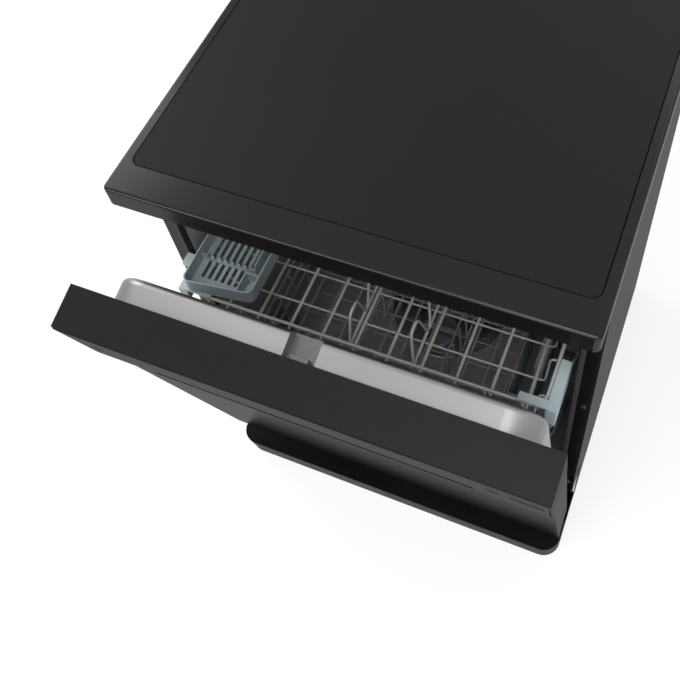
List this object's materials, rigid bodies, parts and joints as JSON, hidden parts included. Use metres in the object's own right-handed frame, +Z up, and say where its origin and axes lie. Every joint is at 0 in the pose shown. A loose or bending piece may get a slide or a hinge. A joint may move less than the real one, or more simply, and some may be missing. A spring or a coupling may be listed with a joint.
{
  "type": "freestanding dishwasher",
  "caption": "Black freestanding dishwasher with a part-open drop-down door, steel tub, sliding wire racks, cutlery tray and spray arms.",
  "frame": {"origin": "on the floor under the middle of the machine with its door as it rests", "axes": "+X to the machine's right as seen from the front, +Y from the door towards the back, +Z up"},
  "size_m": [0.598, 0.7567, 0.85],
  "materials": {
    "worktop_laminate": "matte black laminate with a fine even grain",
    "rim_gloss": "gloss black moulded rim",
    "cabinet_paint": "gloss black enamelled sheet steel",
    "galvanised_steel": "plain galvanised sheet",
    "plinth_black": "satin black",
    "tray_black": "matte black moulding",
    "foot_black": "matte black",
    "tub_steel": "satin stainless steel",
    "liner_steel": "fine brushed stainless steel",
    "seal_rubber": "soft black rubber",
    "lock_black": "matte black",
    "fascia_gloss": "gloss black",
    "cover_matte": "fine matte black",
    "door_gloss": "gloss black enamel",
    "pocket_black": "satin black",
    "display_dark": "dark tinted window",
    "button_black": "gloss black key",
    "board_housing": "grey housing",
    "spring_steel": "drawn wire",
    "screw_steel": "bright zinc",
    "screw_black": "black cap",
    "dispenser_grey": "mid grey moulding",
    "dispenser_lid_grey": "light grey lid",
    "sump_grey": "grey moulding",
    "filter_steel": "perforated stainless",
    "filter_grey": "grey moulding",
    "pump_white": "off-white motor housing",
    "pump_black": "black housing",
    "tank_white": "translucent white tank",
    "valve_white": "white valve body",
    "arm_grey": "grey moulding",
    "wire_grey": "grey nylon coat on steel wire",
    "row_wire": "grey-beige nylon coat on steel wire",
    "bracket_blue_grey": "blue-grey moulding",
    "tray_blue_grey": "blue-grey moulding",
    "slide_steel": "bright rolled steel",
    "wheel_grey": "grey moulding"
  },
  "bodies": {
    "cabinet": {"worktop_board": "worktop_laminate", "worktop_front_trim": "rim_gloss", "worktop_rear_trim": "rim_gloss", "side_panel_left": "cabinet_paint", "side_panel_right": "cabinet_paint", "back_panel": "galvanised_steel", "top_rails": "galvanised_steel", "plinth": "plinth_black", "base_tray": "tray_black", "levelling_feet": "foot_black", "tub": "tub_steel", "door_gasket": "seal_rubber", "door_lock": "lock_black", "hinge_brackets": "galvanised_steel", "door_springs": "spring_steel", "cabinet_screws": "screw_black", "sump": "sump_grey", "filter_plate": "filter_steel", "circulation_pump": "pump_white", "drain_pump": "pump_black", "softener_tank": "tank_white", "inlet_valve": "valve_white", "cable_gland": "pump_black", "spray_feed_pipe": "arm_grey", "fixed_slides": "slide_steel"},
    "door": {"fascia": "fascia_gloss", "fascia_top_cover": "cover_matte", "grip_pocket": "pocket_black", "display_window": "display_dark", "control_board": "board_housing", "door_outer_panel": "door_gloss", "door_liner": "liner_steel", "latch_strike": "screw_steel", "dispenser_body": "dispenser_grey", "hinge_arms": "galvanised_steel", "door_bottom_seal": "seal_rubber", "door_screws": "screw_steel"},
    "power_key": {"power_button": "button_black"},
    "program_key": {"program_button": "button_black"},
    "dispenser_lid": {"dispenser_lid": "dispenser_lid_grey"},
    "rinse_cap": {"rinse_aid_cap": "dispenser_lid_grey"},
    "filter": {"filter_cylinder": "filter_grey"},
    "salt_lid": {"salt_cap": "filter_grey"},
    "lower_arm": {"lower_spray_arm": "arm_grey"},
    "slide_runners": {"running_slides": "slide_steel"},
    "upper_rack": {"upper_rack_wires": "wire_grey", "rack_corner_brackets": "bracket_blue_grey", "rack_slide_bars": "slide_steel", "upper_spray_duct": "arm_grey"},
    "upper_arm": {"upper_spray_arm": "arm_grey"},
    "tray": {"cutlery_tray": "tray_blue_grey"},
    "cup_row_left": {"cup_row_left": "row_wire"},
    "cup_row_right": {"cup_row_right": "row_wire"},
    "lower_rack": {"lower_rack_wires": "wire_grey", "wheel_carriers": "wheel_grey"},
    "plate_row_left": {"plate_row_left": "wire_grey"},
    "plate_row_right": {"plate_row_right": "wire_grey"},
    "front_wheels": {"front_rack_wheels": "wheel_grey"},
    "back_wheels": {"back_rack_wheels": "wheel_grey"},
    "basket": {"cutlery_basket": "wheel_grey"}
  },
  "joints": [
    {"name": "door_hinge", "type": "hinge", "parent": "cabinet", "child": "door", "pos_m": [0, -0.15524, 0.165], "axis": [1, 0, 0], "range_deg": [-14.5, 75.5]},
    {"name": "upper_rack_slide", "type": "slide", "parent": "cabinet", "child": "upper_rack", "axis": [0, -1, 0], "range_m": [-0.09111, 0.47438]},
    {"name": "runner_slide", "type": "slide", "parent": "cabinet", "child": "slide_runners", "axis": [0, -1, 0], "range_m": [-0.04555, 0.23719]},
    {"name": "lower_rack_slide", "type": "slide", "parent": "cabinet", "child": "lower_rack", "axis": [0, -1, 0], "range_m": [-0.02101, 0.10937]},
    {"name": "front_wheel_spin", "type": "hinge", "parent": "lower_rack", "child": "front_wheels", "pos_m": [0, -0.02024, 0.2053], "axis": [1, 0, 0], "continuous": true},
    {"name": "back_wheel_spin", "type": "hinge", "parent": "lower_rack", "child": "back_wheels", "pos_m": [0, 0.26976, 0.2053], "axis": [1, 0, 0], "continuous": true},
    {"name": "cup_row_left_fold", "type": "hinge", "parent": "upper_rack", "child": "cup_row_left", "pos_m": [-0.03, -0.18235, 0.5543], "axis": [0, 1, 0], "range_deg": [-88, 0]},
    {"name": "cup_row_right_fold", "type": "hinge", "parent": "upper_rack", "child": "cup_row_right", "pos_m": [0.063, -0.18235, 0.5543], "axis": [0, 1, 0], "range_deg": [0, 88]},
    {"name": "plate_row_left_fold", "type": "hinge", "parent": "lower_rack", "child": "plate_row_left", "pos_m": [-0.09, -0.06224, 0.2443], "axis": [0, 1, 0], "range_deg": [-88, 0]},
    {"name": "plate_row_right_fold", "type": "hinge", "parent": "lower_rack", "child": "plate_row_right", "pos_m": [0.06, -0.06224, 0.2443], "axis": [0, 1, 0], "range_deg": [0, 88]},
    {"name": "tray_lift", "type": "slide", "parent": "upper_rack", "child": "tray", "axis": [0, 0, 1], "range_m": [0, 0.09]},
    {"name": "basket_lift", "type": "slide", "parent": "lower_rack", "child": "basket", "axis": [0, 0, 1], "range_m": [0, 0.08]},
    {"name": "upper_arm_spin", "type": "hinge", "parent": "upper_rack", "child": "upper_arm", "pos_m": [0, 0.01766, 0.504], "axis": [0, 0, 1], "continuous": true},
    {"name": "lower_arm_spin", "type": "hinge", "parent": "cabinet", "child": "lower_arm", "pos_m": [0, 0.11376, 0.211], "axis": [0, 0, 1], "continuous": true},
    {"name": "filter_twist", "type": "hinge", "parent": "cabinet", "child": "filter", "pos_m": [0, 0.05876, 0.13], "axis": [0, 0, 1], "range_deg": [0, 90]},
    {"name": "salt_cap_turn", "type": "hinge", "parent": "cabinet", "child": "salt_lid", "pos_m": [-0.1925, 0.00876, 0.187], "axis": [0, 0, 1], "range_deg": [0, 270]},
    {"name": "dispenser_lid_slide", "type": "slide", "parent": "door", "child": "dispenser_lid", "axis": [0, -0.2504, 0.9681], "range_m": [0, 0.074]},
    {"name": "rinse_cap_turn", "type": "hinge", "parent": "door", "child": "rinse_cap", "pos_m": [0.105, -0.1856, 0.41021], "axis": [0, 0.9681, 0.2504], "range_deg": [0, 90]},
    {"name": "power_press", "type": "slide", "parent": "door", "child": "power_key", "axis": [0, 0.9681, 0.2504], "range_m": [0, 0.0012], "stiffness_N_per_m": 400},
    {"name": "program_press", "type": "slide", "parent": "door", "child": "program_key", "axis": [0, 0.9681, 0.2504], "range_m": [0, 0.0012], "stiffness_N_per_m": 400}
  ],
  "couplings": [
    {"joint": "upper_rack_slide", "follows": "door_hinge", "m_per_rad": 0.36},
    {"joint": "runner_slide", "follows": "door_hinge", "m_per_rad": 0.18},
    {"joint": "lower_rack_slide", "follows": "door_hinge", "m_per_rad": 0.083},
    {"joint": "front_wheel_spin", "follows": "door_hinge", "ratio": 4.5355},
    {"joint": "back_wheel_spin", "follows": "door_hinge", "ratio": 4.5355}
  ]
}
